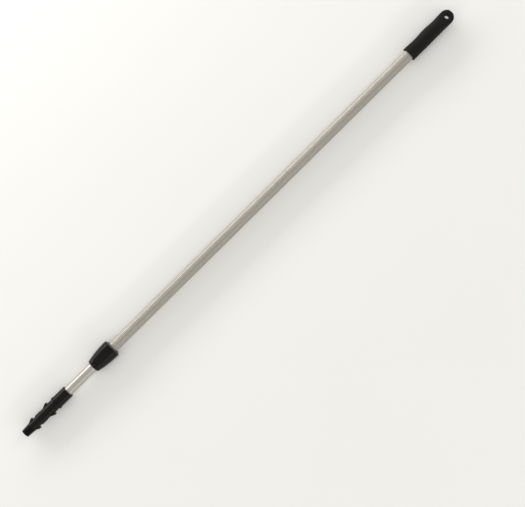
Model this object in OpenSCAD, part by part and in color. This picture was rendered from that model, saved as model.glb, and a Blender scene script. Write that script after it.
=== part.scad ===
// Roller extension pole.
// Two telescoping aluminium tubes, a twist lock, a handle grip and a
// quick-release tip with a threaded nose and two sprung latch bars.
// The pole lies along X with its thread towards -X, and rests on a flat of
// the knob and on the grip. Stations are measured from the thread's free end.

/* [Tubes] */
// Outside diameter of the inner tube
inner_d = 24; // [20:0.5:30]
// Wall of the inner tube
inner_wall = 1.2; // [1:0.1:1.6]
// Radial gap between the two tubes
tube_gap = 0.7; // [0.6:0.05:1.2]
// Wall of the outer tube, over the flutes
outer_wall = 1.3; // [1.1:0.1:2]
// Length of the outer tube
outer_len = 1134; // [800:2:1700]
// Number of flutes round the outer tube
flutes = 24; // [16:1:28]
// Depth of a flute
flute_depth = 0.4; // [0.2:0.05:0.5]
// Width of a flute
flute_w = 1.7; // [1.2:0.1:2]
// Bare inner tube between the tip and the knob, as the pole is set
bare_len = 85; // [20:1:300]
// Free room behind the inner tube when the pole is pushed together
closed_room = 46; // [20:1:200]

/* [Tip] */
// Length of the threaded nose
thread_len = 24; // [18:0.5:32]
// Thread pitch
thread_pitch = 2.9; // [2.4:0.1:4]
// Thread crest radius at the free end
thread_r = 10.9; // [10:0.1:11.2]
// Depth of the thread
thread_depth = 1.3; // [0.8:0.1:1.5]
// Radius of the neck behind the thread
neck_r = 12.4; // [12:0.1:13.2]
// Length of the neck
neck_len = 22; // [18:0.5:30]
// Radius of the barrel at the neck
barrel_r = 13.6; // [13.4:0.1:14.5]
// Growth of the barrel's radius along its length
barrel_growth = 0.9; // [0:0.1:1.2]
// Length of the barrel
barrel_len = 57.3; // [54:0.1:80]
// Radius of the ring between barrel and collar
ring_r = 17; // [16.4:0.1:19]
// Length of the ring
ring_len = 4; // [3:0.1:6]
// Wall of the collar on the inner tube
collar_wall = 3.7; // [2.5:0.1:5]
// Length of the collar
collar_len = 38; // [30:0.5:60]
// Height of the flare on the collar's front edge
collar_flare = 0.6; // [0.2:0.1:1]
// Length of the tip's spigot inside the inner tube
spigot_len = 34; // [25:0.5:50]
// Wall of the spigot
spigot_wall = 3.2; // [2:0.1:4]
// Radius of the tip rivet's shank
tip_rivet_r = 2; // [1.5:0.1:2.5]

/* [Latches] */
// Width of a latch bar
latch_w = 15; // [10:0.5:15.5]
// Height of a barb and a thumb pad over the body
latch_rise = 4.5; // [3:0.1:4.5]
// Length of a barb's ramp
barb_ramp = 9; // [6:0.5:10]
// Length of a barb's flat top
barb_top = 4; // [2:0.5:5]
// Length of a thumb pad's ramp
pad_ramp = 11; // [8:0.5:12]
// Length of a thumb pad's top
pad_top = 4.4; // [3:0.2:6]
// Distance of a thumb pad's end from the ring
pad_back = 14.6; // [12:0.2:20]
// Thickness of the web between the bars
web_t = 3; // [2:0.1:3.4]
// Gap round a latch bar
latch_gap = 0.25; // [0.15:0.05:0.4]
// Radius of a return spring
spring_r = 2.3; // [1.8:0.1:2.4]
// Wire of a return spring
spring_wire = 0.6; // [0.4:0.05:0.7]
// Turns of a return spring
spring_turns = 5; // [3:1:6]

/* [Knob] */
// Length of the knob
knob_len = 66; // [63:0.5:90]
// Wall of the knob's nose over the inner tube
nose_wall = 4.4; // [4:0.1:7]
// Radius of the arc along the knob's side
knob_arc_r = 252; // [220:1:500]
// Distance of the knob's widest place from its front
knob_peak = 59; // [52:0.5:62]
// Half the angle that a flat of the knob takes up
flat_half = 28.5; // [20:0.5:30]
// Distance of a flat's start from the knob's front
flat_start = 7; // [6:0.5:12]
// Wall of the knob's shell over the core, at a flat
shell_wall = 1.7; // [1.4:0.1:4]
// Wall of the knob's core over the ferrule
core_wall = 2.2; // [1.8:0.1:4]
// Wall of the ferrule over the outer tube
ferrule_wall = 2.55; // [2:0.05:4]
// Length of the ferrule
ferrule_len = 36; // [30:0.5:50]
// Radius of a ferrule rivet
ferrule_rivet_r = 1.6; // [1.2:0.1:2]
// Length of the split part of the collet
collet_slit = 14; // [10:0.5:15]
// Length of the bush at the outer tube's mouth
bush_len = 70; // [40:5:120]

/* [Grip] */
// Length of the grip
grip_len = 146; // [120:1:200]
// Wall of the grip at its mouth, over the tube
grip_wall = 3.9; // [3:0.1:7]
// Depth of the grip's waist
grip_waist = 0.8; // [0:0.1:1.2]
// Half width of the flattened end
tab_r = 17.6; // [17:0.1:22]
// Thickness of the flattened end at its very end
tab_t = 18; // [12:0.5:24]
// Radius of the hang hole
hang_r = 6; // [4:0.5:8]

/* [Fits] */
// Radial clearance of a fixed fit
fixed_fit = 0.02; // [0.01:0.01:0.05]
// Radial clearance of a running fit
running_fit = 0.05; // [0.02:0.01:0.1]
// Clearance between faces that do not bear on each other
face_gap = 0.3; // [0.2:0.05:0.5]

/* [Hidden] */
$fn = 72;

// Tube radii
inner_r = inner_d / 2;
inner_bore = inner_r - inner_wall;
outer_bore = inner_r + tube_gap;
outer_r = outer_bore + outer_wall;

// Tip stations and radii
neck_s = thread_len;
barrel_s = neck_s + neck_len;
ring_s = barrel_s + barrel_len;
ring_end = ring_s + ring_len;
collar_s = ring_end + face_gap;
tube_s = collar_s + 2.4;
collar_end = collar_s + collar_len;
collar_r = inner_r + collar_wall;
spigot_r = inner_bore - fixed_fit;
tip_rivet_s = tube_s + 0.5 * spigot_len;
thread_lead = 1.5;
thread_rows = 6;
thread_sides = 36;
thread_growth = neck_r - 0.2 - thread_r;

// Latch bar, from its toe to its heel
slot_s = neck_s + 1;
slot_end = ring_s - 5;
toe_len = 4.2;
toe_w = 0.6 * latch_w;
toe_r = neck_r - 3.6;
heel_len = 3.3;
heel_r = toe_r + 0.7;
latch_in = web_t / 2 + latch_rise + 0.2;
latch_back_s = barrel_s + 0.4;
latch_back_len = 15;
latch_proud = 0.7;
pad_end = ring_s - pad_back;
pad_s = pad_end - pad_top - pad_ramp;
barb_end = slot_s + 0.2 + barb_ramp + barb_top;
spring_seat = latch_in + 3.5;
spring_s = [barb_end - 8, pad_end - 7];
spring_rings = 14;
spring_sides = 8;

// Knob stations and radii, from its front
knob_s = collar_end + bare_len;
ferrule_r = outer_r + fixed_fit + ferrule_wall;
core_bore = ferrule_r + running_fit;
core_r = core_bore + core_wall;
flat_h = core_r + shell_wall;
knob_r = flat_h / cos(flat_half);
knob_front_r = inner_r + nose_wall;
seal_s = 2;
seal_len = 4;
seal_r = inner_r + 2.6;
washer_s = seal_s + seal_len + 3;
washer_len = 3;
washer_r = inner_r + 3;
core_s = washer_s + washer_len + 2;
collet_s = washer_s + washer_len + face_gap;
cone_front_r = inner_r + 2;
cone_end = core_s + 15;
flange_end = cone_end + 2;
ferrule_s = knob_s + flange_end;
outer_s = ferrule_s + 2;
outer_end = outer_s + outer_len;
bush_end = outer_s + bush_len;
shell_end = knob_len - 1.2;
rear_round = 3;

// Grip stations and radii
plug_len = 14;
plug_flange = 1.6;
grip_bore_end = outer_end + plug_flange + face_gap;
tab_solid = 43.5;
total_len = grip_bore_end + tab_solid;
grip_s = total_len - grip_len;
grip_r = outer_r + grip_wall;
hang_s = total_len - tab_r;

// Inner tube's rear end
plug_shank = 25;
plug_lip = 1.7;
guide_len = 14;
journal_r = inner_bore - 0.3;
journal_len = plug_lip + guide_len + 2 * face_gap;
bumper_len = 4;
bumper_end = outer_end - plug_len - closed_room - bare_len;
bumper_s = bumper_end - bumper_len;
inner_end = bumper_s - plug_lip - journal_len;
guide_s = inner_end + plug_lip + face_gap;

// The pole's axis over the surface that it rests on
axis_h = flat_h;

// Radius of the knob's side at a distance from its front
function knob_side(x) = knob_front_r + (knob_r - knob_front_r)
    * (arc_drop(knob_peak) - arc_drop(knob_peak - x)) / arc_drop(knob_peak);
function arc_drop(d) = knob_arc_r - sqrt(pow(knob_arc_r, 2) - pow(d, 2));

// Crest line of the thread, and its depth at a phase of one turn
function crest(s) = thread_r + thread_growth * s / thread_len - max(0, thread_lead - s);
function tooth(phase) = thread_depth * min(1, max(0, 1.5 * (1 - abs(2 * phase - 1)) - 0.1));
function fraction(v) = v - floor(v);

module placed() {
    translate([-total_len / 2, 0, axis_h]) children();
}

module rod(from, to, r) {
    translate([from, 0, 0]) rotate([0, 90, 0]) cylinder(h = to - from, r = r);
}

module sleeve(from, to, r_out, r_in) {
    difference() {
        rod(from, to, r_out);
        rod(from - 1, to + 1, r_in);
    }
}

// Turns an outline of [station, radius] points about X
module turned(outline) {
    rotate([0, 90, 0]) rotate_extrude() polygon([for (p = outline) [p[1], p[0]]]);
}

// Radial pin from below, from one radius to another
module pin_below(s, r, r_from, r_to) {
    translate([s, 0, -r_to]) cylinder(h = r_to - r_from, r = r);
}

module flute_cuts(from, to) {
    // a groove's circle that has the flute's width and depth on the tube
    rg = (pow(flute_w / 2, 2) + pow(flute_depth, 2)) / (2 * flute_depth);
    for (i = [0 : flutes - 1])
        rotate([(i + 0.5) * 360 / flutes, 0, 0])
            translate([from - 1, 0, outer_r - flute_depth + rg])
                rotate([0, 90, 0]) cylinder(h = to - from + 2, r = rg, $fn = 24);
}

module outer_tube() {
    color("silver") placed() difference() {
        sleeve(outer_s, outer_end, outer_r, outer_bore);
        flute_cuts(outer_s, outer_end);
        ferrule_rivet_holes();
    }
}

module grip() {
    rim = 0.8;
    waist_r = grip_r - grip_waist;
    waist_s = grip_s + 0.2 * grip_len;
    swell_s = grip_s + 0.45 * grip_len;
    neck_end = total_len - 2.6 * tab_r;
    color([0.13, 0.12, 0.11]) placed() difference() {
        union() {
            turned([[grip_s, 0], [grip_s, grip_r - rim], [grip_s + rim, grip_r], [grip_s + 8, grip_r],
                [waist_s, waist_r], [swell_s, grip_r], [neck_end, waist_r], [neck_end, 0]]);
            hull() {
                rod(neck_end - 1, neck_end, waist_r, $fn = 32);
                translate([hang_s, 0, -tab_t / 2]) cylinder(h = tab_t, r = tab_r, $fn = 48);
            }
        }
        rod(grip_s - 1, grip_bore_end, outer_r + fixed_fit);
        translate([hang_s, 0, -tab_t]) cylinder(h = 2 * tab_t, r = hang_r);
    }
}

module tube_plug() {
    color("dimgray") placed() {
        rod(outer_end - plug_len, outer_end, outer_bore - fixed_fit);
        rod(outer_end, outer_end + plug_flange, outer_r);
    }
}

module front_bush() {
    color("ivory") placed() sleeve(outer_s, bush_end, outer_bore - fixed_fit, inner_r + running_fit);
}

module ferrule() {
    color("dimgray") placed() difference() {
        rod(ferrule_s, ferrule_s + ferrule_len, ferrule_r);
        rod(ferrule_s - 1, outer_s + 1, inner_r + face_gap);
        rod(outer_s, ferrule_s + ferrule_len + 1, outer_r + fixed_fit);
        ferrule_rivet_holes();
    }
}

module ferrule_rivet_holes() {
    for (side = [0, 180])
        rotate([side, 0, 0])
            pin_below(ferrule_s + ferrule_len / 2, ferrule_rivet_r, outer_bore - 0.3, ferrule_r + 1);
}

module ferrule_rivets() {
    color("gray") placed() for (side = [0, 180])
        rotate([side, 0, 0])
            pin_below(ferrule_s + ferrule_len / 2, ferrule_rivet_r, outer_bore, ferrule_r - 0.1);
}

module collet() {
    cone_gap = 0.25;
    slit = 1.6;
    color("ivory") placed() translate([knob_s, 0, 0]) difference() {
        turned([[collet_s, 0], [collet_s, cone_front_r - cone_gap - 0.3], [core_s, cone_front_r - cone_gap],
            [cone_end, core_bore - cone_gap], [flange_end, core_bore - cone_gap], [flange_end, 0]]);
        rod(collet_s - 1, flange_end + 1, inner_r + running_fit);
        for (a = [0 : 45 : 135])
            rotate([a, 0, 0])
                translate([collet_s - 1, -slit / 2, -core_bore]) cube([collet_slit + 1, slit, 2 * core_bore]);
    }
}

module thrust_washer() {
    color("gray") placed() translate([knob_s, 0, 0])
        sleeve(washer_s, washer_s + washer_len, washer_r, inner_r + face_gap);
}

module knob_shell() {
    rear_r = core_r + 1;
    color([0.12, 0.11, 0.1]) placed() translate([knob_s, 0, 0]) difference() {
        turned(concat([[0, 0], [0, knob_front_r - 0.5], [0.5, knob_side(0.5)]],
            [for (x = [4 : 4 : knob_peak]) [x, knob_side(x)]],
            [[shell_end - rear_round, knob_r - 0.1], [shell_end - 1, 0.5 * (knob_r + rear_r) + 0.4],
            [shell_end, rear_r], [shell_end, 0]]));
        for (side = [0, 180]) rotate([side, 0, 0]) knob_flat();
        rod(-1, seal_s + 1, inner_r + face_gap);
        rod(seal_s, seal_s + seal_len, seal_r + fixed_fit);
        rod(seal_s, washer_s + 1, inner_r + face_gap);
        rod(washer_s, core_s, washer_r + running_fit);
        turned(core_outline(fixed_fit));
    }
}

// What a flat takes off the knob's top side
module knob_flat() {
    across = 2 * knob_r;
    steps = [for (x = [flat_start + 6 : 6 : knob_peak - 1]) [x, knob_side(x) * cos(flat_half)]];
    translate([0, across / 2, 0]) rotate([90, 0, 0]) linear_extrude(across)
        polygon(concat([[flat_start, knob_side(flat_start) + 0.1]], steps,
            [[knob_peak, flat_h], [knob_len, flat_h], [knob_len, 2 * knob_r],
            [flat_start, 2 * knob_r]]));
}

// Outline of the core's outside, grown by a fit
function core_outline(grow) = concat([[core_s, 0]],
    [for (x = [core_s, core_s + 7, core_s + 14, core_s + 28])
        [x, knob_side(x) * cos(flat_half) - shell_wall + grow]],
    [[knob_peak, core_r + grow], [shell_end, core_r + grow], [knob_len, core_bore + 0.6 + grow],
    [knob_len, 0]]);

module knob_core() {
    color("dimgray") placed() translate([knob_s, 0, 0]) difference() {
        turned(core_outline(0));
        turned([[core_s - 1, 0], [core_s - 1, cone_front_r], [core_s, cone_front_r], [cone_end, core_bore],
            [knob_len + 1, core_bore], [knob_len + 1, 0]]);
    }
}

module wiper_seal() {
    color("black") placed() translate([knob_s, 0, 0])
        sleeve(seal_s, seal_s + seal_len, seal_r, inner_r + running_fit);
}

module guide_ring() {
    slit = 2;
    color("ivory") placed() difference() {
        sleeve(guide_s, guide_s + guide_len, outer_bore - running_fit, journal_r + running_fit);
        translate([guide_s - 1, -slit / 2, 0]) cube([guide_len + 2, slit, outer_bore]);
    }
}

module inner_tube() {
    color("gainsboro") placed() difference() {
        sleeve(tube_s, inner_end, inner_r, inner_bore);
        pin_below(tip_rivet_s, tip_rivet_r, 0, inner_r + 1);
    }
}

module inner_plug() {
    lip_r = inner_r - 0.1;
    color("dimgray") placed() {
        rod(inner_end - plug_shank, inner_end, inner_bore - fixed_fit);
        rod(inner_end, inner_end + plug_lip, lip_r);
        rod(inner_end, inner_end + journal_len, journal_r);
        rod(inner_end + journal_len, bumper_s, lip_r);
    }
}

module end_bumper() {
    color("black") placed() rod(bumper_s, bumper_end, inner_r - 2);
}

module tip_body() {
    color([0.15, 0.14, 0.12]) placed() difference() {
        union() {
            threaded_nose();
            turned([[neck_s, 0], [neck_s, neck_r - 0.3], [neck_s + 0.3, neck_r], [barrel_s, neck_r],
                [barrel_s, barrel_r - 0.3], [barrel_s + 0.4, barrel_r],
                [ring_s, barrel_r + barrel_growth], [ring_s, ring_r], [ring_end - 0.3, ring_r],
                [ring_end, ring_r - 0.4], [ring_end, inner_r], [tube_s, inner_r],
                [tube_s, spigot_r], [tube_s + spigot_len, spigot_r], [tube_s + spigot_len, 0]]);
        }
        for (side = [0, 180]) rotate([side, 0, 0]) latch_slot();
        rod(tube_s + 4, tube_s + spigot_len + 1, spigot_r - spigot_wall);
        pin_below(tip_rivet_s, tip_rivet_r, 0, inner_r);
    }
}

// Tapered thread as one closed skin: rows of points round a screw surface
module threaded_nose() {
    rows = round(thread_len / thread_pitch * thread_rows);
    step = thread_len / rows;
    last = thread_len + 0.5;
    stations = [for (i = [0 : rows]) i < rows ? i * step : last];
    ring_points = [for (i = [0 : rows]) for (j = [0 : thread_sides - 1])
        let (s = stations[i], a = j * 360 / thread_sides,
            r = i < rows ? crest(s) - tooth(fraction(s / thread_pitch - j / thread_sides))
                : neck_r - thread_depth)
        [s, r * cos(a), r * sin(a)]];
    points = concat(ring_points, [[0, 0, 0], [last, 0, 0]]);
    n = thread_sides;
    tip = n * (rows + 1);
    sides = [for (i = [0 : rows - 1]) for (j = [0 : n - 1])
        let (a = i * n + j, b = i * n + (j + 1) % n) each [[a, a + n, b], [b, a + n, b + n]]];
    caps = [for (j = [0 : n - 1])
        let (k = (j + 1) % n, e = rows * n) each [[tip, j, k], [tip + 1, e + k, e + j]]];
    polyhedron(points = points, faces = concat(sides, caps), convexity = 10);
}

// Room for the latch bar on the +Y side
module latch_slot() {
    w = latch_w + 2 * latch_gap;
    toe_slot = toe_w + 2 * latch_gap;
    from = web_t / 2;
    translate([slot_s, from, -w / 2]) cube([slot_end - slot_s + latch_gap, ring_r + 10, w]);
    translate([slot_s - toe_len - latch_gap, from, -toe_slot / 2])
        cube([toe_len + 1, toe_r + 0.1 - from, toe_slot]);
    translate([slot_end - 1, from, -toe_slot / 2])
        cube([heel_len + 1 + latch_gap, heel_r + 0.1 - from, toe_slot]);
}

module collar() {
    color([0.13, 0.12, 0.11]) placed() difference() {
        turned([[collar_s, 0], [collar_s, collar_r + collar_flare - 0.3],
            [collar_s + 0.3, collar_r + collar_flare], [tube_s, collar_r],
            [collar_end - 0.5, collar_r], [collar_end, collar_r - 0.5], [collar_end, 0]]);
        rod(collar_s - 1, collar_end + 1, inner_r + fixed_fit);
        pin_below(tip_rivet_s, tip_rivet_r, 0, collar_r + 1);
    }
}

module tip_rivet() {
    head = 0.8;
    color("gray") placed() {
        pin_below(tip_rivet_s, tip_rivet_r - fixed_fit, spigot_r - spigot_wall, collar_r);
        pin_below(tip_rivet_s, 1.8 * tip_rivet_r, collar_r, collar_r + head);
    }
}

// Outside of a latch bar as [station, radius] points, from toe to heel
function latch_outline() =
    let (neck = neck_r - 0.1,
        barb = neck + latch_rise,
        back = barrel_r + latch_proud,
        side = barrel_r + 0.1,
        pad = side + latch_rise + 0.7,
        rear = barrel_r + barrel_growth,
        ramp = slot_s + 0.2)
    [[slot_s - toe_len, toe_r], [ramp, toe_r], [ramp, neck], [ramp + barb_ramp, barb],
    [barb_end, barb], [barb_end + 0.2, neck], [latch_back_s, neck], [latch_back_s + 0.2, back - 0.3],
    [latch_back_s + 0.8, back], [latch_back_s + latch_back_len, back],
    [latch_back_s + latch_back_len + 1.5, side], [pad_s, side], [pad_s + pad_ramp, pad - 0.4],
    [pad_s + pad_ramp + 0.35 * pad_top, pad], [pad_end - 0.3 * pad_top, pad], [pad_end - 0.2, pad - 1],
    [pad_end, rear], [slot_end - latch_gap, rear], [slot_end - latch_gap, heel_r],
    [slot_end + heel_len - latch_gap, heel_r]];

module latch() {
    outline = latch_outline();
    last = outline[len(outline) - 1][0];
    inside = [[last, latch_in], [slot_s - toe_len, latch_in]];
    axis = [[last, 0], [slot_s - toe_len, 0]];
    difference() {
        intersection() {
            linear_extrude(latch_w, center = true) polygon(concat(outline, inside));
            turned(concat(outline, axis));
        }
        for (end = [slot_s - toe_len - 1, slot_end - latch_gap]) for (side = [-1, 1])
            translate([end, 0, side > 0 ? toe_w / 2 : -latch_w])
                cube([end < slot_s ? toe_len + 1.2 : heel_len + 1, neck_r, latch_w - toe_w / 2]);
        for (s = spring_s)
            translate([s, latch_in - 1, 0]) rotate([-90, 0, 0])
                cylinder(h = spring_seat - latch_in + 1, r = spring_r + 0.4);
    }
}

module latch_left() {
    color([0.16, 0.15, 0.13]) placed() latch();
}

module latch_right() {
    color([0.16, 0.15, 0.13]) placed() rotate([180, 0, 0]) latch();
}

// Coil spring from the web to the seat in the latch bar, along +Y
module coil_spring(s) {
    wire_r = spring_wire / 2;
    coil_r = spring_r - wire_r;
    low = web_t / 2 + wire_r;
    rise = spring_seat - wire_r - low;
    rings = spring_turns * spring_rings;
    m = spring_sides;
    points = [for (i = [0 : rings]) for (k = [0 : m - 1])
        let (t = i / rings, a = 360 * spring_turns * t, b = 360 * k / m, r = coil_r + wire_r * cos(b))
        [s + r * cos(a), low + rise * t + wire_r * sin(b), r * sin(a)]];
    sides = [for (i = [0 : rings - 1]) for (k = [0 : m - 1])
        let (p = i * m + k, q = i * m + (k + 1) % m) each [[p, q, p + m], [q, q + m, p + m]]];
    start = [for (k = [m - 1 : -1 : 0]) k];
    finish = [for (k = [0 : m - 1]) rings * m + k];
    polyhedron(points = points, faces = concat(sides, [start, finish]), convexity = 10);
}

module latch_springs_left() {
    color("gray") placed() for (s = spring_s) coil_spring(s);
}

module latch_springs_right() {
    color("gray") placed() rotate([180, 0, 0]) for (s = spring_s) coil_spring(s);
}

outer_tube();
grip();
tube_plug();
front_bush();
ferrule();
ferrule_rivets();
collet();
thrust_washer();
knob_shell();
knob_core();
wiper_seal();
guide_ring();
inner_tube();
inner_plug();
end_bumper();
tip_body();
collar();
tip_rivet();
latch_left();
latch_right();
latch_springs_left();
latch_springs_right();
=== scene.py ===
from math import cos, pi, radians, sin, sqrt

import bmesh
import bpy
from mathutils import Matrix, Vector


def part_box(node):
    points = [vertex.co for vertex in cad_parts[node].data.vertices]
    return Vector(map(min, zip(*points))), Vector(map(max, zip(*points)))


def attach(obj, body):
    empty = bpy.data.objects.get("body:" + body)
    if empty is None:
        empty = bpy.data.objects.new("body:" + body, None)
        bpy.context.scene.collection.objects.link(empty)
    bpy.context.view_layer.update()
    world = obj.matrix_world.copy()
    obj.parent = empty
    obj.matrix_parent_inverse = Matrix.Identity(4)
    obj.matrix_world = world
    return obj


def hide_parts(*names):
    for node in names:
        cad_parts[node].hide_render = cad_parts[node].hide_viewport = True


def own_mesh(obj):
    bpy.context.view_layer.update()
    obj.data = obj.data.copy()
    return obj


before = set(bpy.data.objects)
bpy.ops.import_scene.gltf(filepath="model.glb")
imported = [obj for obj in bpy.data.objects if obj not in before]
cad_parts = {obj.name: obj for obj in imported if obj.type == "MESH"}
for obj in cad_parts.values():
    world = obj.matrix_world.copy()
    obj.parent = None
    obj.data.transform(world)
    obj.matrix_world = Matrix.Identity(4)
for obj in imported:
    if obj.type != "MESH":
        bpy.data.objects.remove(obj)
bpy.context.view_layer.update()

scene = bpy.context.scene
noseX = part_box("tip_body")[0].x                                  # the thread's free end
axisZ = sum(corner.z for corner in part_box("inner_tube")) / 2     # the pole's own axis


def station(mm):
    return noseX + mm / 1000


def stationOf(x):
    return (x - noseX) * 1000


onAxis = 1e-6                                                    # a radius below this is a point on the axis


def newPiece(name, mesh, material):
    piece = bpy.data.objects.new(name, mesh)
    scene.collection.objects.link(piece)
    mesh.materials.append(material)
    return piece


# quads between neighbouring rings of vertices, and triangles to a ring of one
def bands(pairs, around):
    faces = []
    for low, high in pairs:
        for i in range(around):
            j = (i + 1) % around
            if len(low) == 1:
                faces.append((low[0], high[j], high[i]))
            elif len(high) == 1:
                faces.append((low[i], low[j], high[0]))
            else:
                faces.append((low[i], low[j], high[j], high[i]))
    return faces


def meshOf(name, verts, faces, degrees=34):
    mesh = bpy.data.meshes.new(name)
    mesh.from_pydata(verts, [], faces)
    shadeByAngle(mesh, degrees)
    return mesh


def shadeByAngle(mesh, degrees=34, recalc=True):
    work = bmesh.new()
    work.from_mesh(mesh)
    if recalc:
        bmesh.ops.recalc_face_normals(work, faces=work.faces)
    for face in work.faces:
        face.smooth = True
    for edge in work.edges:
        edge.smooth = len(edge.link_faces) == 2 and edge.calc_face_angle(0) < radians(degrees)
    work.to_mesh(mesh)
    work.free()


# (station, radius) or (station, radius, fillet) points become a line with rounded corners
def rounded(points, closed=False, steps=5):
    line, count = [], len(points)
    for i, point in enumerate(points):
        if len(point) == 2 or (not closed and i in (0, count - 1)):
            line.append(tuple(point[:2]))
            continue
        here = Vector(point[:2])
        before = Vector(points[i - 1][:2]) - here
        after = Vector(points[(i + 1) % count][:2]) - here
        reach = min(point[2], 0.48 * before.length, 0.48 * after.length)
        start, end = here + before.normalized() * reach, here + after.normalized() * reach
        for k in range(steps + 1):
            t = k / steps
            line.append(tuple(start * (1 - t) ** 2 + here * 2 * t * (1 - t) + end * t ** 2))
    return line


# adds points so that no stretch between two stations is longer than a step
def divided(line, step, first=-1e9, last=1e9):
    out = [line[0]]
    for (s0, r0), (s1, r1) in zip(line, line[1:]):
        parts = 1
        if min(s0, s1) < last and max(s0, s1) > first:
            parts = max(1, round(sqrt((s1 - s0) ** 2 + (r1 - r0) ** 2) / step))
        for k in range(1, parts + 1):
            out.append((s0 + (s1 - s0) * k / parts, r0 + (r1 - r0) * k / parts))
    return out


# turns a line of (station, radius) about the pole's axis; shape may change a point's radius
def turned(name, line, material, around=96, closed=False, shape=None, degrees=34):
    verts, rings = [], []
    for s, r in line:
        if r < onAxis:
            rings.append([len(verts)])
            verts.append((station(s), 0, axisZ))
            continue
        ring = []
        for i in range(around):
            a = 2 * pi * i / around
            here = shape(s, a, r) if shape else r
            ring.append(len(verts))
            verts.append((station(s), here * cos(a) / 1000, axisZ + here * sin(a) / 1000))
        rings.append(ring)
    pairs = list(zip(rings, rings[1:])) + ([(rings[-1], rings[0])] if closed else [])
    return newPiece(name, meshOf(name, verts, bands(pairs, around), degrees), material)


# turns a line of (height, radius) about an upright line through a station; a flip points it down
def spunUpright(name, line, s, around, flip=1, degrees=34):
    verts, rings = [], []
    for height, r in line:
        ring = 1 if r < onAxis else around
        rings.append(list(range(len(verts), len(verts) + ring)))
        for i in range(ring):
            a = 2 * pi * i / around
            verts.append((station(s) + r * cos(a) / 1000, r * sin(a) / 1000, axisZ + flip * height / 1000))
    return meshOf(name, verts, bands(zip(rings, rings[1:]), around), degrees)


def placed(piece, body, slot, *nodes):
    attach(piece, body)
    if nodes:
        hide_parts(*nodes)
    return piece


def newTree(name, sizes):
    tree = bpy.data.node_groups.new(name, "GeometryNodeTree")
    tree.interface.new_socket("Geometry", in_out="INPUT", socket_type="NodeSocketGeometry")
    for label, start in sizes.items():
        kind = "NodeSocketInt" if isinstance(start, int) else "NodeSocketFloat"
        tree.interface.new_socket(label, in_out="INPUT", socket_type=kind).default_value = start
    tree.interface.new_socket("Finish", in_out="INPUT", socket_type="NodeSocketMaterial")
    tree.interface.new_socket("Geometry", in_out="OUTPUT", socket_type="NodeSocketGeometry")
    return tree, tree.nodes.new("NodeGroupInput").outputs


def calc(tree, operation, *values):
    node = tree.nodes.new("ShaderNodeMath")
    node.operation = operation
    for socket, value in zip(node.inputs, values):
        if isinstance(value, (int, float)):
            socket.default_value = value
        else:
            tree.links.new(value, socket)
    return node.outputs[0]


def joined(tree, x, y, z):
    node = tree.nodes.new("ShaderNodeCombineXYZ")
    for socket, value in zip(node.inputs, (x, y, z)):
        if isinstance(value, (int, float)):
            socket.default_value = value
        else:
            tree.links.new(value, socket)
    return node.outputs[0]


# a point's x, angle about the pole's axis, radius, and unit direction away from the axis
def aboutAxis(tree, height):
    place = tree.nodes.new("GeometryNodeInputPosition")
    split = tree.nodes.new("ShaderNodeSeparateXYZ")
    tree.links.new(place.outputs[0], split.inputs[0])
    x, y = split.outputs[0], split.outputs[1]
    z = calc(tree, "SUBTRACT", split.outputs[2], height)
    radius = calc(tree, "SQRT", calc(tree, "ADD", calc(tree, "MULTIPLY", y, y), calc(tree, "MULTIPLY", z, z)))
    angle = calc(tree, "ARCTAN2", z, y)
    return x, y, z, radius, angle


def movedOut(tree, geometry, selection, outward, y, z, radius):
    move = tree.nodes.new("GeometryNodeSetPosition")
    tree.links.new(geometry, move.inputs["Geometry"])
    if selection is not None:
        tree.links.new(selection, move.inputs["Selection"])
    dy = calc(tree, "MULTIPLY", outward, calc(tree, "DIVIDE", y, radius))
    dz = calc(tree, "MULTIPLY", outward, calc(tree, "DIVIDE", z, radius))
    tree.links.new(joined(tree, 0, dy, dz), move.inputs["Offset"])
    return move.outputs[0]


def ended(tree, geometry, finish):
    real = tree.nodes.new("GeometryNodeRealizeInstances")
    paint = tree.nodes.new("GeometryNodeSetMaterial")
    out = tree.nodes.new("NodeGroupOutput")
    tree.links.new(geometry, real.inputs["Geometry"])
    tree.links.new(real.outputs[0], paint.inputs["Geometry"])
    tree.links.new(finish, paint.inputs["Material"])
    tree.links.new(paint.outputs[0], out.inputs[0])


# runs a tree on a piece and leaves a plain mesh
def baked(piece, tree, sizes, finish, degrees=40):
    modifier = piece.modifiers.new(tree.name, "NODES")
    modifier.node_group = tree
    wanted = dict(sizes, Finish=finish)
    for item in tree.interface.items_tree:
        if item.item_type == "SOCKET" and item.in_out == "INPUT" and item.name in wanted:
            modifier[item.identifier] = wanted[item.name]
    depsgraph = bpy.context.evaluated_depsgraph_get()
    mesh = bpy.data.meshes.new_from_object(piece.evaluated_get(depsgraph), depsgraph=depsgraph)
    piece.modifiers.remove(modifier)
    old, piece.data = piece.data, mesh
    bpy.data.meshes.remove(old)
    mesh.name = piece.name
    shadeByAngle(mesh, degrees)
    return piece


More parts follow.
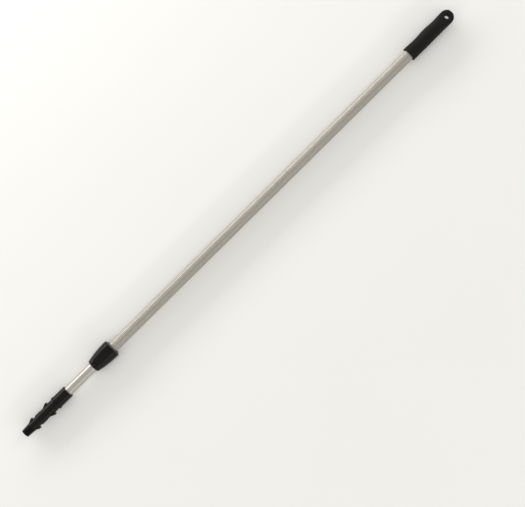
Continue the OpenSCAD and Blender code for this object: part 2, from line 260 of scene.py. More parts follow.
class Finish:
    def __init__(self, name, color, **sockets):
        self.material = bpy.data.materials.new(name)
        self.material.use_nodes = True
        self.tree = self.material.node_tree
        self.shader = self.tree.nodes["Principled BSDF"]
        self.shader.inputs["Base Color"].default_value = (*color, 1)
        self.material.diffuse_color = (*color, 1)
        self.place = self.node("ShaderNodeTexCoord").outputs["Object"]
        for socket, value in sockets.items():
            self.shader.inputs[socket.replace("_", " ")].default_value = value

    def node(self, kind, **values):
        made = self.tree.nodes.new(kind)
        for key, value in values.items():
            setattr(made, key, value)
        return made

    def link(self, out, socket):
        self.tree.links.new(out, socket)

    def noise(self, scale, stretch=(1, 1, 1), detail=3.0, rough=0.55):
        mapping = self.node("ShaderNodeMapping")
        mapping.inputs["Scale"].default_value = stretch
        self.link(self.place, mapping.inputs["Vector"])
        made = self.node("ShaderNodeTexNoise")
        made.inputs["Scale"].default_value = scale
        made.inputs["Detail"].default_value = detail
        made.inputs["Roughness"].default_value = rough
        self.link(mapping.outputs[0], made.inputs["Vector"])
        return made.outputs[0]

    def spread(self, value, low, high, fromLow=0.3, fromHigh=0.7):
        made = self.node("ShaderNodeMapRange")
        made.inputs["From Min"].default_value = fromLow
        made.inputs["From Max"].default_value = fromHigh
        made.inputs["To Min"].default_value = low
        made.inputs["To Max"].default_value = high
        self.link(value, made.inputs["Value"])
        return made.outputs[0]

    def mixed(self, factor, first, second):
        made = self.node("ShaderNodeMix", data_type="RGBA")
        self.link(factor, made.inputs[0])
        for socket, value in ((made.inputs[6], first), (made.inputs[7], second)):
            if isinstance(value, tuple):
                socket.default_value = (*value, 1)
            else:
                self.link(value, socket)
        return made.outputs[2]

    # distance from the pole's axis
    def fromAxis(self):
        split = self.node("ShaderNodeSeparateXYZ")
        self.link(self.place, split.inputs[0])
        drop = self.node("ShaderNodeMath", operation="SUBTRACT")
        self.link(split.outputs[2], drop.inputs[0])
        drop.inputs[1].default_value = axisZ
        flat = self.node("ShaderNodeCombineXYZ")
        self.link(split.outputs[1], flat.inputs[1])
        self.link(drop.outputs[0], flat.inputs[2])
        length = self.node("ShaderNodeVectorMath", operation="LENGTH")
        self.link(flat.outputs[0], length.inputs[0])
        return length.outputs["Value"]

    # patches and edges that are a little lighter, as handling leaves them
    def worn(self, base, edge, strength, sharp=0.06):
        shape = self.node("ShaderNodeNewGeometry").outputs["Pointiness"]
        edges = self.spread(shape, 0, strength, 0.5 + 0.2 * sharp, 0.5 + sharp)
        spots = self.spread(self.noise(260), 0.35, 1.0)
        both = self.node("ShaderNodeMath", operation="MULTIPLY")
        self.link(edges, both.inputs[0])
        self.link(spots, both.inputs[1])
        return self.mixed(both.outputs[0], base, edge)

    def bumps(self, *layers):
        last = None
        for height, strength, distance in layers:
            made = self.node("ShaderNodeBump")
            made.inputs["Strength"].default_value = strength
            made.inputs["Distance"].default_value = distance
            self.link(height, made.inputs["Height"])
            if last is not None:
                self.link(last, made.inputs["Normal"])
            last = made.outputs[0]
        self.link(last, self.shader.inputs["Normal"])


def scaled(color, factor):
    return tuple(min(1, factor * c) for c in color)


def mouldedPlastic(name, color, rough, grain, wear, specular):
    finish = Finish(name, color, Specular_IOR_Level=specular)
    pale = tuple(0.75 * c + 0.014 for c in color)
    cloudy = finish.mixed(finish.noise(55), scaled(color, 0.8), scaled(color, 1.25))
    finish.link(finish.worn(cloudy, pale, wear), finish.shader.inputs["Base Color"])
    smudges = finish.spread(finish.noise(38, (0.5, 1, 1)), rough - 0.04, rough + 0.06)
    finish.link(smudges, finish.shader.inputs["Roughness"])
    finish.bumps((finish.noise(1500, detail=2), grain, 0.00006), (finish.noise(160), 0.12, 0.0002))
    return finish.material


# flutes are two distances from the axis, between which the metal goes from painted shade at the flute bottoms to
# plain
def drawnMetal(name, color, rough, lines, flutes=None):
    finish = Finish(name, color, Metallic=1.0)
    along = finish.noise(1.0, (5, 2600, 2600), detail=4)
    broad = finish.noise(1.0, (2.5, 420, 420), detail=2)
    shade = finish.mixed(finish.spread(broad, 0, 1), scaled(color, 0.93), scaled(color, 1.04))
    specks = finish.spread(finish.noise(900, (0.25, 1, 1), detail=1), 0, 0.5, 0.66, 0.8)
    tone = finish.mixed(specks, shade, scaled(color, 0.8))
    if flutes:
        # painted shade: the metal is darkened towards the flute bottoms, where it lies nearer the axis
        grooveShade = finish.spread(finish.fromAxis(), 0.62, 0, flutes[0], flutes[1])
        tone = finish.mixed(grooveShade, tone, scaled(color, 0.22))
    finish.link(tone, finish.shader.inputs["Base Color"])
    finish.link(finish.spread(along, rough - 0.05, rough + 0.07), finish.shader.inputs["Roughness"])
    finish.bumps((along, lines, 0.00002))
    return finish.material


def plainNylon(name, color, rough):
    finish = Finish(name, color, Subsurface_Weight=0.05)
    cloudy = finish.mixed(finish.noise(90), scaled(color, 0.88), scaled(color, 1.08))
    finish.link(cloudy, finish.shader.inputs["Base Color"])
    finish.link(finish.spread(finish.noise(300), rough - 0.05, rough + 0.08), finish.shader.inputs["Roughness"])
    finish.bumps((finish.noise(1200), 0.25, 0.00005))
    return finish.material


def platedSteel(name, color, rough):
    finish = Finish(name, color, Metallic=1.0)
    patches = finish.mixed(finish.noise(700, detail=4), scaled(color, 0.82), scaled(color, 1.1))
    finish.link(patches, finish.shader.inputs["Base Color"])
    finish.link(finish.spread(finish.noise(1500), rough - 0.06, rough + 0.1), finish.shader.inputs["Roughness"])
    finish.bumps((finish.noise(2200, detail=2), 0.2, 0.00003))
    return finish.material


# the flutes pair gives the two radii over which the painted shade in the flute bottoms fades to plain metal
outerAluminium = drawnMetal("outerAluminium", (0.47, 0.44, 0.387), 0.42, 0.35, flutes=(0.01362, 0.01396))
innerAluminium = drawnMetal("innerAluminium", (0.485, 0.462, 0.415), 0.42, 0.2)
# roughness, grain, wear and specular level after each plastic's colour
gripPlastic = mouldedPlastic("gripPlastic", (0.0068, 0.0064, 0.0054), 0.6, 0.5, 0.2, 0.13)
knobPlastic = mouldedPlastic("knobPlastic", (0.0034, 0.0029, 0.0019), 0.23, 0.18, 0.25, 0.17)
tipPlastic = mouldedPlastic("tipPlastic", (0.0036, 0.0031, 0.0021), 0.26, 0.22, 0.25, 0.17)
latchPlastic = mouldedPlastic("latchPlastic", (0.0040, 0.0035, 0.0025), 0.31, 0.3, 0.25, 0.17)
blackRubber = mouldedPlastic("blackRubber", (0.012, 0.012, 0.012), 0.72, 0.5, 0.2, 0.3)
greyNylon = plainNylon("greyNylon", (0.06, 0.06, 0.06), 0.5)
naturalNylon = plainNylon("naturalNylon", (0.72, 0.69, 0.6), 0.42)
platedSteelFinish = platedSteel("platedSteel", (0.58, 0.58, 0.56), 0.3)
print("materials made")


outerTube = {"start": 263.6, "end": 1397.6, "radius": 14, "bore": 12.7, "rim": 0.25, "flutes": 24,
             "depth": 0.4, "width": 1.75, "perFlute": 16}


def fluteTree():
    tree, given = newTree("flutes", {"Flute Count": 24, "Flute Depth": 0.0004, "Flute Width": 0.0017,
                                     "Tube Radius": 0.014, "Axis Height": 0.02})
    x, y, z, radius, angle = aboutAxis(tree, given["Axis Height"])
    turn = calc(tree, "DIVIDE", calc(tree, "MULTIPLY", angle, given["Flute Count"]), 2 * pi)
    saw = calc(tree, "FRACT", calc(tree, "ADD", turn, 64))
    phase = calc(tree, "ABSOLUTE", calc(tree, "SUBTRACT", saw, 0.5))
    pitch = calc(tree, "DIVIDE", calc(tree, "MULTIPLY", given["Tube Radius"], 2 * pi), given["Flute Count"])
    halfWidth = calc(tree, "DIVIDE", given["Flute Width"], 2)
    across = calc(tree, "DIVIDE", calc(tree, "MULTIPLY", phase, pitch), halfWidth)
    groove = calc(tree, "MAXIMUM", 0, calc(tree, "SUBTRACT", 1, calc(tree, "POWER", across, 2)))
    inward = calc(tree, "MULTIPLY", calc(tree, "MULTIPLY", groove, given["Flute Depth"]), -1)
    outside = calc(tree, "GREATER_THAN", radius, calc(tree, "SUBTRACT", given["Tube Radius"], 0.0005))
    ended(tree, movedOut(tree, given["Geometry"], outside, inward, y, z, radius), given["Finish"])
    return tree


def tubeLine(tube, steps):
    start, end, radius, bore, rim = (tube[key] for key in ("start", "end", "radius", "bore", "rim"))
    corners = [(start, bore), (start, radius, rim), (end, radius, rim), (end, bore)]
    return divided(rounded(corners, steps=steps), 90)


around = outerTube["flutes"] * outerTube["perFlute"]
piece = turned("outerTube", tubeLine(outerTube, 2), outerAluminium, around=around, closed=True)
baked(piece, fluteTree(), {"Flute Count": outerTube["flutes"], "Flute Depth": outerTube["depth"] / 1000,
                           "Flute Width": outerTube["width"] / 1000, "Tube Radius": outerTube["radius"] / 1000,
                           "Axis Height": axisZ}, outerAluminium, 60)
placed(piece, "outer", "outer_aluminium", "outer_tube")

innerBox = [stationOf(corner.x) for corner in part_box("inner_tube")]
innerTube = {"start": innerBox[0], "end": innerBox[1], "radius": 12, "bore": 10.8, "rim": 0.3}
piece = turned("innerTube", tubeLine(innerTube, 5), innerAluminium, around=144, closed=True)
placed(piece, "inner", "inner_aluminium", "inner_tube")
print("tubes made")


tip = {"threadLength": 24, "pitch": 2.9, "depth": 1.35, "neckRadius": 12.4, "neckEnd": 46, "barrelRadius": 13.6,
       "barrelEnd": 14.5, "ring": 103.3, "ringEnd": 107.3, "ringRadius": 17, "stub": 12, "tubeStart": 110,
       "spigot": 10.78, "spigotEnd": 144}
slot = {"start": 25, "end": 98.3, "width": 15.5, "web": 1.5, "reach": 25, "toe": 4.5, "toeWidth": 9.5,
        "toeTop": 8.9, "heel": 3.6, "heelTop": 9.6}


def threadTree():
    tree, given = newTree("thread", {"Pitch": 0.0029, "Depth": 0.0013, "Start": 0.0, "Length": 0.024,
                                     "Axis Height": 0.02})
    x, y, z, radius, angle = aboutAxis(tree, given["Axis Height"])
    along = calc(tree, "SUBTRACT", x, given["Start"])
    lead = calc(tree, "DIVIDE", along, given["Pitch"])
    turns = calc(tree, "SUBTRACT", lead, calc(tree, "DIVIDE", angle, 2 * pi))
    phase = calc(tree, "FRACT", calc(tree, "ADD", turns, 64))
    swing = calc(tree, "SUBTRACT", calc(tree, "MULTIPLY", phase, 2), 1)
    hill = calc(tree, "SUBTRACT", 1, calc(tree, "ABSOLUTE", swing))
    steep = calc(tree, "SUBTRACT", calc(tree, "MULTIPLY", hill, 1.35), 0.1)
    flank = calc(tree, "MINIMUM", 1, calc(tree, "MAXIMUM", 0, steep))
    soft = calc(tree, "SMOOTH_MIN", flank, 0.97, 0.12)
    left = calc(tree, "DIVIDE", calc(tree, "SUBTRACT", given["Length"], along), 0.0012)
    fade = calc(tree, "MINIMUM", 1, calc(tree, "MAXIMUM", 0, left))
    depth = calc(tree, "MULTIPLY", given["Depth"], -1)
    inward = calc(tree, "MULTIPLY", calc(tree, "MULTIPLY", soft, fade), depth)
    outside = calc(tree, "GREATER_THAN", radius, 0.0098)
    threaded = calc(tree, "MULTIPLY", calc(tree, "LESS_THAN", along, given["Length"]), outside)
    ended(tree, movedOut(tree, given["Geometry"], threaded, inward, y, z, radius), given["Finish"])
    return tree


tipLine = rounded([(0, 0), (0, 10.1, 0.25), (0.55, 10.75, 0.3), (tip["threadLength"], tip["neckRadius"] - 0.15),
                   (tip["threadLength"] + 0.15, tip["neckRadius"], 0.1), (tip["neckEnd"], tip["neckRadius"], 0.4),
                   (tip["neckEnd"] + 0.1, tip["barrelRadius"], 0.45), (tip["ring"] - 0.1, tip["barrelEnd"], 0.5),
                   (tip["ring"], tip["ringRadius"], 0.55), (tip["ringEnd"], tip["ringRadius"], 0.7),
                   (tip["ringEnd"], tip["stub"]), (tip["tubeStart"], tip["stub"]),
                   (tip["tubeStart"], tip["spigot"]), (tip["spigotEnd"], tip["spigot"], 0.6),
                   (tip["spigotEnd"], 0)])
line = divided(divided(tipLine, 0.2, 0, 25), 3.0, 25)
tipBody = turned("tipBody", line, tipPlastic, around=128)
baked(tipBody, threadTree(), {"Pitch": tip["pitch"] / 1000, "Depth": tip["depth"] / 1000, "Start": noseX,
                              "Length": tip["threadLength"] / 1000, "Axis Height": axisZ}, tipPlastic, 50)


def blockMesh(low, high):
    work = bmesh.new()
    bmesh.ops.create_cube(work, size=1)
    for vert in work.verts:
        vert.co = Vector([low[i] + (high[i] - low[i]) * (vert.co[i] + 0.5) for i in range(3)])
    mesh = bpy.data.meshes.new("block")
    work.to_mesh(mesh)
    work.free()
    return mesh


def asTool(name, mesh):
    made = bpy.data.objects.new(name, mesh)
    scene.collection.objects.link(made)
    return made


def carved(piece, tool, degrees=34):
    modifier = piece.modifiers.new("carve", "BOOLEAN")
    modifier.operation = "DIFFERENCE"
    modifier.solver = "EXACT"
    modifier.object = tool
    depsgraph = bpy.context.evaluated_depsgraph_get()
    mesh = bpy.data.meshes.new_from_object(piece.evaluated_get(depsgraph), depsgraph=depsgraph)
    piece.modifiers.remove(modifier)
    old, piece.data = piece.data, mesh
    bpy.data.meshes.remove(old)
    mesh.name = piece.name
    bpy.data.objects.remove(tool)
    shadeByAngle(mesh, degrees, recalc=False)


# the bar's room, then the rooms for its toe and heel, in each side
for side in (1, -1):
    start, end, web = slot["start"], slot["end"], slot["web"]
    half, toeHalf = slot["width"] / 2, slot["toeWidth"] / 2
    rooms = [(start, end + 0.25, slot["reach"], half), (start - slot["toe"], start + 1, slot["toeTop"], toeHalf),
             (end - 1, end + slot["heel"], slot["heelTop"], toeHalf)]
    for first, last, top, wide in rooms:
        near, far = sorted((side * web / 1000, side * top / 1000))
        low = (station(first), near, axisZ - wide / 1000)
        high = (station(last), far, axisZ + wide / 1000)
        carved(tipBody, asTool("latchRoom", blockMesh(low, high)))
placed(tipBody, "inner", "tip_plastic", "tip_body")

# a latch bar's outside in (station, radius, fillet), from the toe under the nose to the heel under the ring
latch = {"width": 15, "toeWidth": 9, "under": 6.2, "toeEnd": 25.2, "heelStart": 98.05, "padSide": 13.8,
         "serrations": (74.2, 87.6), "pitch": 1.15, "depth": 0.28, "slant": 0.55, "columns": 33, "edge": 0.35}
latchLine = [(20.8, 8.8), (25.2, 8.8), (25.2, 12.25, 0.2), (26.2, 12.7, 0.6), (34.6, 16.8, 3.2), (38.2, 16.8, 0.7),
             (38.5, 12.3, 0.5), (46.3, 12.3, 0.4), (47.0, 14.2, 0.5), (61.8, 14.3, 1.2), (63.4, 13.7, 1.2),
             (73.3, 13.7, 1.6), (84.2, 18.85, 1.4), (87.9, 18.9, 1.5), (88.5, 14.5, 0.5), (98.05, 14.5, 0.25),
             (98.05, 9.5), (101.3, 9.5)]


def serrationTree():
    tree, given = newTree("serrations", {"Pitch": 0.001, "Depth": 0.0002, "Slant": 0.5, "Axis Height": 0.02})
    x, y, z, radius, angle = aboutAxis(tree, given["Axis Height"])
    mark = tree.nodes.new("GeometryNodeInputNamedAttribute")
    mark.data_type = "FLOAT"
    mark.inputs["Name"].default_value = "thumb"
    slanted = calc(tree, "ADD", x, calc(tree, "MULTIPLY", z, given["Slant"]))
    phase = calc(tree, "FRACT", calc(tree, "ADD", calc(tree, "DIVIDE", slanted, given["Pitch"]), 4096))
    wave = calc(tree, "ABSOLUTE", calc(tree, "SUBTRACT", calc(tree, "MULTIPLY", phase, 2), 1))
    inward = calc(tree, "MULTIPLY", mark.outputs[0], -1)
    valley = calc(tree, "MULTIPLY", calc(tree, "MULTIPLY", wave, given["Depth"]), inward)
    ended(tree, movedOut(tree, given["Geometry"], None, valley, y, z, radius), given["Finish"])
    return tree


# across the bar and down from its surface at a share t of the half width; the long edges are slightly rounded
def acrossBar(t, half):
    flat = 0.9
    bend = max(0, abs(t) - flat) * 5 * pi
    w = half * (t if abs(t) < flat else (flat + 0.1 * sin(bend)) * (1 if t > 0 else -1))
    return w, min(latch["edge"], half * 0.1) * (1 - cos(bend))


def latchBar(name, side):
    low, high = latch["serrations"]
    line = divided(divided(rounded(latchLine), 1.2), 0.16, low, high)
    columns = latch["columns"]
    verts, thumb, faces = [], [], []
    for s, r in line:
        toe = s < latch["toeEnd"] - 0.01 or (s < latch["toeEnd"] + 0.01 and r < 8.9)
        heel = s > latch["heelStart"] + 0.01 or (s > latch["heelStart"] - 0.05 and r < 14.2)
        half = (latch["toeWidth"] if toe or heel else latch["width"]) / 2
        for k in range(columns):
            w, drop = acrossBar(-1 + 2 * k / (columns - 1), half)
            out = sqrt(max(r * r - w * w, 1)) - drop
            verts.append((station(s), side * out / 1000, axisZ + side * w / 1000))
            edge = min(1, max(0, min(s - low, high - s) / 0.5))
            thumb.append(edge if r > latch["padSide"] else 0.0)
        for w in (half, -half):
            verts.append((station(s), side * latch["under"] / 1000, axisZ + side * w / 1000))
            thumb.append(0.0)
    row = columns + 2
    for i in range(len(line) - 1):
        a, b = i * row, (i + 1) * row
        for k in range(row):
            j = (k + 1) % row
            faces.append((a + k, a + j, b + j, b + k))
    faces.append(tuple(range(row)))
    faces.append(tuple((len(line) - 1) * row + k for k in reversed(range(row))))
    mesh = bpy.data.meshes.new(name)
    mesh.from_pydata(verts, [], faces)
    mesh.attributes.new("thumb", "FLOAT", "POINT").data.foreach_set("value", thumb)
    piece = newPiece(name, mesh, latchPlastic)
    return baked(piece, serrationTree(), {"Pitch": latch["pitch"] / 1000, "Depth": latch["depth"] / 1000,
                                          "Slant": latch["slant"], "Axis Height": axisZ}, latchPlastic, 38)


placed(latchBar("latchLeft", 1), "latch_left", "latch_plastic", "latch_left")
placed(latchBar("latchRight", -1), "latch_right", "latch_plastic", "latch_right")

# return springs: two coils on each side of the web
spring = {"stations": (30.2, 81.7), "coil": 2.0, "wire": 0.3, "turns": 5, "from": 1.5, "to": 9.7,
          "squashed": 0.463}


def springTree():
    tree, given = newTree("coils", {"Coil Radius": 0.002, "Wire Radius": 0.0003, "Turns": 5.0, "Height": 0.008,
                                    "Spacing": 0.05, "Tilt": -pi / 2})
    coil = tree.nodes.new("GeometryNodeCurveSpiral")
    coil.inputs["Resolution"].default_value = 20
    ring = tree.nodes.new("GeometryNodeCurvePrimitiveCircle")
    ring.inputs["Resolution"].default_value = 10
    wire = tree.nodes.new("GeometryNodeCurveToMesh")
    wire.inputs["Fill Caps"].default_value = True
    tree.links.new(given["Wire Radius"], ring.inputs["Radius"])
    wanted = {"Start Radius": "Coil Radius", "End Radius": "Coil Radius", "Rotations": "Turns", "Height": "Height"}
    for socket, label in wanted.items():
        tree.links.new(given[label], coil.inputs[socket])
    tree.links.new(coil.outputs[0], wire.inputs["Curve"])
    tree.links.new(ring.outputs[0], wire.inputs["Profile Curve"])
    seats = tree.nodes.new("GeometryNodeMeshLine")
    seats.inputs["Count"].default_value = 2
    tree.links.new(joined(tree, given["Spacing"], 0, 0), seats.inputs["Offset"])
    copies = tree.nodes.new("GeometryNodeInstanceOnPoints")
    tree.links.new(seats.outputs[0], copies.inputs["Points"])
    tree.links.new(wire.outputs[0], copies.inputs["Instance"])
    tree.links.new(joined(tree, given["Tilt"], 0, 0), copies.inputs["Rotation"])
    ended(tree, copies.outputs[0], given["Finish"])
    return tree


coils = springTree()
for side, name in ((1, "Left"), (-1, "Right")):
    piece = newPiece("latchSprings" + name, bpy.data.meshes.new("latchSprings" + name), platedSteelFinish)
    first, second = spring["stations"]
    height = spring["to"] - spring["from"] - 2 * spring["wire"]
    baked(piece, coils, {"Coil Radius": spring["coil"] / 1000, "Wire Radius": spring["wire"] / 1000,
                         "Turns": float(spring["turns"]), "Tilt": -side * pi / 2, "Height": height / 1000,
                         "Spacing": (second - first) / 1000}, platedSteelFinish)
    start = Vector((station(first), side * (spring["from"] + spring["wire"]) / 1000, axisZ))
    for vert in piece.data.vertices:
        vert.co += start
    placed(piece, "inner", "steel", "latch_springs_" + name.lower())
    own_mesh(piece)

# collar on the inner tube, and its rivet underneath
collar = {"start": 107.6, "flareEnd": 108.3, "taperEnd": 110.2, "end": 145.6, "radius": 15.7, "flare": 16.3,
          "bore": 12.02}
line = rounded([(collar["start"], collar["bore"]), (collar["start"], collar["flare"], 0.4),
                (collar["flareEnd"], collar["flare"], 0.5), (collar["taperEnd"], collar["radius"], 1.2),
                (collar["end"], collar["radius"], 0.5), (collar["end"], collar["bore"], 0.3)])
piece = turned("collar", divided(line, 3), tipPlastic, around=128, closed=True)
placed(piece, "inner", "tip_plastic", "collar")

rivet = {"station": 127, "head": 3.6, "shank": 1.98, "inner": 7.6, "seat": 15.7, "brim": 0.35, "top": 16.5}
line = rounded([(rivet["inner"], 0), (rivet["inner"], rivet["shank"], 0.2), (rivet["seat"], rivet["shank"]),
                (rivet["seat"], rivet["head"], 0.12), (rivet["seat"] + rivet["brim"], rivet["head"], 0.3),
                (rivet["top"] - 0.12, 0.55 * rivet["head"], 0.6), (rivet["top"], 0)])
mesh = spunUpright("tipRivet", line, rivet["station"], 48, flip=-1, degrees=40)
placed(newPiece("tipRivet", mesh, platedSteelFinish), "inner", "steel", "tip_rivet")
print("tip made")


knob = {"start": 230.6, "length": 64.8, "front": 16.4, "peak": 59, "widest": 23.32, "arc": 252, "flatHalf": 28.5,
        "flatStart": 7.5, "flatRunOut": 7, "bead": 0.16, "beadWidth": 0.75}


def arcDrop(d):
    return knob["arc"] - sqrt(knob["arc"] ** 2 - d * d)


def knobSide(x):
    rise = (arcDrop(knob["peak"]) - arcDrop(knob["peak"] - x)) / arcDrop(knob["peak"])
    return knob["front"] + (knob["widest"] - knob["front"]) * rise


def knobShape(s, a, r):
    x = s - knob["start"]
    side = knobSide(min(x, knob["peak"]))
    if x < 2 or r < side - 6.5:
        return r
    crease = radians(knob["flatHalf"])
    off = abs((a % pi) - pi / 2)                   # angle from the nearer flat's middle
    # the flat runs out towards the front with a round end
    t = min(1, max(0, (x - knob["flatStart"]) / knob["flatRunOut"]))
    angle = crease * (1 - (1 - t) ** 2) ** 0.75
    bead = 0
    if x > knob["flatStart"] - 1:
        away = (off - angle) * side / knob["beadWidth"] - 0.9
        bead = knob["bead"] * max(0, 1 - away * away) if t > 0.4 else 0
    if off >= angle:
        return min(r + bead * (1 if r > side - 0.4 else 0), knob["widest"])
    level = side * cos(crease) + (side * (1 - cos(crease))) * (1 - t) * 0.35
    flat = max(level, side * cos(angle)) / cos(off)
    close = max(0, 1 - abs(r - flat) / 0.3)
    return min(r, flat) - 0.075 * close * close


front = knob["start"]
rear = knob["start"] + knob["length"]
# finer steps where the flats begin
steps = [1.2 + 0.7 * i for i in range(10)] + [8.1 + 0.2 * i for i in range(30)]
steps += [14.1 + 0.9 * i for i in range(50)]
outside = [(front + x, knobSide(x)) for x in steps if x < knob["peak"] - 0.4]
nose = rounded([(front, 12.3), (front, knob["front"] - 0.15, 0.8), (front + 1.0, knobSide(1.0))])
heel = rounded([(front + 58.7, knobSide(58.7)), (front + 62.2, knob["widest"], 0.9), (front + 63.5, 21.9, 1.0),
                (rear, 19.9, 0.5), (rear, 18.85)])
inside = [(front + 40, 18.85), (front + 14, 16.5), (front + 9, 15.05), (front + 9, 12.3)]
line = nose + outside + heel + inside
piece = turned("knobShell", line, knobPlastic, around=320, closed=True, shape=knobShape, degrees=30)
placed(piece, "knob", "knob_plastic", "knob_shell")

# stations on these two are from the knob's nose
core = {"start": 14, "coneEnd": 42, "rimStart": 64.6, "end": 66, "throat": 14.1, "radius": 18.8, "rim": 17.2,
        "bore": 16.66, "boreStart": 29}
line = rounded([(front + core["start"], core["throat"]), (front + core["start"], 16.4),
                (front + core["coneEnd"], core["radius"], 6), (front + core["rimStart"], core["radius"], 0.4),
                (front + core["end"], core["rim"], 0.3), (front + core["end"], core["bore"], 0.2),
                (front + core["boreStart"], core["bore"])])
piece = turned("knobCore", line, greyNylon, around=96, closed=True)
placed(piece, "knob", "grey_nylon", "knob_core")

seal = {"start": 2, "end": 6, "radius": 14.6, "lip": 12.05, "groove": 12.35}
line = rounded([(front + seal["start"], seal["lip"]), (front + seal["start"], seal["radius"], 0.3),
                (front + seal["end"], seal["radius"], 0.3), (front + seal["end"], seal["lip"], 0.3),
                (front + 4.9, seal["groove"], 0.3), (front + 4.0, seal["lip"], 0.1),
                (front + 3.1, seal["groove"], 0.3)], closed=True)
piece = turned("wiperSeal", line, blackRubber, around=96, closed=True)
placed(piece, "knob", "black_rubber", "wiper_seal")

ferrule = {"start": 261.6, "shoulder": 263.6, "end": 297.6, "radius": 16.57, "mouth": 12.3, "bore": 14.02}
line = rounded([(ferrule["start"], ferrule["mouth"]), (ferrule["start"], ferrule["radius"], 0.3),
                (ferrule["end"], ferrule["radius"], 0.5), (ferrule["end"], ferrule["bore"], 0.25),
                (ferrule["shoulder"], ferrule["bore"]), (ferrule["shoulder"], ferrule["mouth"])], closed=True)
piece = turned("ferrule", line, greyNylon, around=96, closed=True)
placed(piece, "outer", "grey_nylon", "ferrule")
print("knob made")


gripSizes = {"start": 1297, "end": 1443, "endRadius": 17.55, "endThick": 12.0, "boreEnd": 1399.5, "bore": 14.02,
             "hole": 5.95, "holeBack": 17.6, "around": 128}
# (station, +Y side, -Y side, half thickness) along the grip
gripLine = [(1297, 17.9, 17.9, 17.9), (1305, 17.9, 17.9, 17.9), (1318, 17.3, 17.8, 17.6),
            (1333, 16.9, 17.7, 17.3), (1350, 17.8, 17.7, 17.7), (1367, 18.5, 17.6, 17.8),
            (1382, 17.7, 17.4, 17.5), (1397, 16.95, 17.3, 16.9), (1408, 17.4, 17.3, 15.6),
            (1418, 17.75, 17.4, 13.6), (1426, 17.75, 17.4, 12.0)]


def slopeAt(i, k):
    low, high = gripLine[max(0, i - 1)], gripLine[min(len(gripLine) - 1, i + 1)]
    return (high[k] - low[k]) / (high[0] - low[0])


# a smooth curve through the rows above
def gripAt(s):
    i = min(max(j for j, row in enumerate(gripLine) if row[0] <= s or j == 0), len(gripLine) - 2)
    first, second = gripLine[i], gripLine[i + 1]
    span = second[0] - first[0]
    t = min(1, (s - first[0]) / span)
    out = []
    for k in (1, 2, 3):
        a, b = slopeAt(i, k) * span, slopeAt(i + 1, k) * span
        rise = second[k] - first[k]
        out.append(first[k] + a * t + (3 * rise - 2 * a - b) * t * t + (a + b - 2 * rise) * t ** 3)
    return out


def gripRing(s):
    end, wide = gripSizes["end"], gripSizes["endRadius"]
    left, right, thick = gripAt(s)
    flat = min(1, max(0, (s - 1385) / 36))                   # 0 round, 1 flattened with rounded edges
    power = 2 + 1.6 * flat * flat
    past = s - (end - wide)
    if past > 0:                                             # the end is a half circle seen from above
        share = sqrt(max(0, 1 - (past / wide) ** 2))
        left, right = left * share, right * share
        thick = gripSizes["endThick"] - 3.2 * past / wide
        thick *= min(1, sqrt(max(0, (end - s) / 2.6)))
    ring = []
    for i in range(gripSizes["around"]):
        a = 2 * pi * i / gripSizes["around"]
        c, d = cos(a), sin(a)
        k = (abs(c) ** power + abs(d) ** power) ** (-1 / power)
        ring.append(((left if c > 0 else right) * k * c, thick * k * d))
    return ring


def gripMesh():
    start, end, endRadius, around = (gripSizes[key] for key in ("start", "end", "endRadius", "around"))
    boreEnd, boreRadius = gripSizes["boreEnd"], gripSizes["bore"]
    verts, rows = [], []
    for s, r in ((boreEnd, 0), (boreEnd, boreRadius), (start + 0.6, boreRadius), (start + 0.1, boreRadius + 0.35)):
        rows.append(list(range(len(verts), len(verts) + (1 if r == 0 else around))))
        for i in range(len(rows[-1])):
            a = 2 * pi * i / around
            verts.append((station(s), r * cos(a) / 1000, axisZ + r * sin(a) / 1000))
    # the mouth's outer edge is trimmed to a small round
    trims = {start: 0.8, start + 0.15: 0.4, start + 0.5: 0.12}
    stations = list(trims) + [start + 1.1 + 2.2 * i for i in range(57)]
    stations = [s for s in stations if s < end - 18]
    stations += [end - endRadius + endRadius * sin(0.5 * pi * i / 26) for i in range(26)]
    for s in stations:
        rows.append(list(range(len(verts), len(verts) + around)))
        for y, z in gripRing(s):
            left = 1 - trims.get(s, 0) / sqrt(y * y + z * z)
            verts.append((station(s), y * left / 1000, axisZ + z * left / 1000))
    rows.append([len(verts)])
    verts.append((station(end), 0, axisZ))
    return meshOf("grip", verts, bands(zip(rows, rows[1:]), around), 40)


grip = newPiece("grip", gripMesh(), gripPlastic)

# the hang hole's cutter is a spool, so that both rims come out rounded
hole = gripSizes["hole"]
spool = [(-20, 0), (-20, hole + 9), (-13.6, hole + 2.4), (-12.2, hole + 0.9), (-11, hole + 0.25), (-9.5, hole)]
spool = spool + [(-z, r) for z, r in reversed(spool)]
mesh = spunUpright("holeTool", spool, gripSizes["end"] - gripSizes["holeBack"], 64)
carved(grip, asTool("holeTool", mesh), 40)
placed(grip, "outer", "grip_plastic", "grip")
print("grip made")


# CAD pieces that stay, each with its finish and slot
stays = {"tube_plug": (greyNylon, "grey_nylon"), "front_bush": (naturalNylon, "natural_nylon"),
         "ferrule_rivets": (platedSteelFinish, "steel"), "collet": (naturalNylon, "natural_nylon"),
         "thrust_washer": (platedSteelFinish, "steel"), "guide_ring": (naturalNylon, "natural_nylon"),
         "inner_plug": (greyNylon, "grey_nylon"), "end_bumper": (blackRubber, "black_rubber")}
for name, (finish, slotName) in stays.items():
    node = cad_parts[name]
    for holder in node.material_slots:
        holder.material = finish
print("inner pieces painted")


def floorFinish():
    finish = Finish("paleFloor", (0.86, 0.855, 0.84), Specular_IOR_Level=0.1, Roughness=0.8)
    tone = finish.mixed(finish.noise(3, detail=2), (0.85, 0.845, 0.83), (0.87, 0.865, 0.85))
    finish.link(tone, finish.shader.inputs["Base Color"])
    return finish.material


studio = {"floor": 12, "world": 0.69, "key": 50, "fill": 14, "ends": 16, "lens": 75, "sensor": 36, "scale": 0.4155,
          "tilt": 4.0, "turn": 44.66, "right": 0.0578, "down": 0.0734}

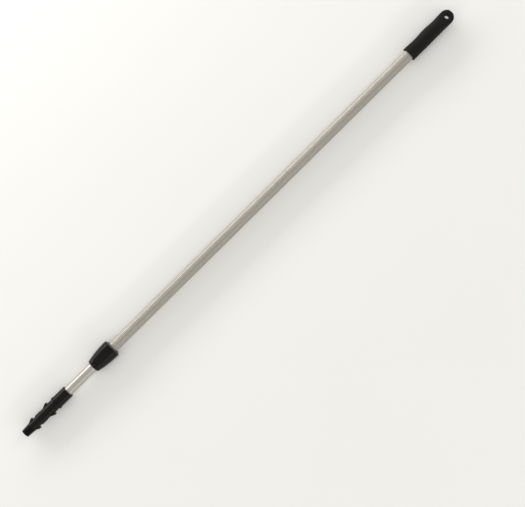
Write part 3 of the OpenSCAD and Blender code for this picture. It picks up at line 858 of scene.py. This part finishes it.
half = studio["floor"]
mesh = bpy.data.meshes.new("floor")
mesh.from_pydata([(-half, -half, 0), (half, -half, 0), (half, half, 0), (-half, half, 0)], [], [(0, 1, 2, 3)])
floor = newPiece("floor", mesh, floorFinish())

world = bpy.data.worlds.new("studioAir")
scene.world = world
world.use_nodes = True
world.node_tree.nodes["Background"].inputs[0].default_value = (1.0, 0.985, 0.95, 1)
world.node_tree.nodes["Background"].inputs[1].default_value = studio["world"]


# a soft rectangle of light that faces its target
def softLight(name, place, target, power, width, height):
    data = bpy.data.lights.new(name, "AREA")
    data.shape = "RECTANGLE"
    data.size, data.size_y = width, height
    data.energy = power
    light = bpy.data.objects.new(name, data)
    scene.collection.objects.link(light)
    light.location = place
    light.rotation_mode = "QUATERNION"
    upward = "X" if abs(place[0]) > 1 else "Y"
    light.rotation_quaternion = (Vector(target) - Vector(place)).to_track_quat("-Z", upward)


def besidePole(degrees, distance):
    a = radians(degrees)
    return (0, distance * sin(a), distance * cos(a) + axisZ)


softLight("keyLight", besidePole(73, 2.4), (0, 0, axisZ), studio["key"], 4.4, 0.55)
softLight("fillLight", besidePole(-66, 2.6), (0, 0, axisZ), studio["fill"], 4.4, 0.3)
softLight("endLightTip", (-3.0, 0, 2.3), (-0.2, 0, 0), studio["ends"], 1.6, 1.6)
softLight("endLightGrip", (3.0, 0, 2.3), (0.2, 0, 0), studio["ends"], 1.6, 1.6)

cameraData = bpy.data.cameras.new("camera")
camera = bpy.data.objects.new("camera", cameraData)
scene.collection.objects.link(camera)
cameraData.lens = studio["lens"]
cameraData.sensor_width = studio["sensor"]
distance = 525 / studio["scale"] / 1000 * studio["lens"] / studio["sensor"]
turn = radians(studio["turn"])                 # the pole runs up to the right
tilt = radians(studio["tilt"])
back = Vector((0, -sin(tilt), cos(tilt)))
side = Vector((0, cos(tilt), sin(tilt)))       # across the pole, square to the view
right = Vector((1, 0, 0)) * cos(turn) - side * sin(turn)
up = Vector((1, 0, 0)) * sin(turn) + side * cos(turn)
# it looks a little to the right of the pole's middle, and below it
aim = Vector((0, 0, axisZ)) + right * studio["right"] - up * studio["down"]
camera.location = aim + back * distance
camera.rotation_mode = "QUATERNION"
camera.rotation_quaternion = Matrix((right, up, back)).transposed().to_quaternion()
scene.camera = camera
scene.view_settings.view_transform = "Standard"
print("stage made")
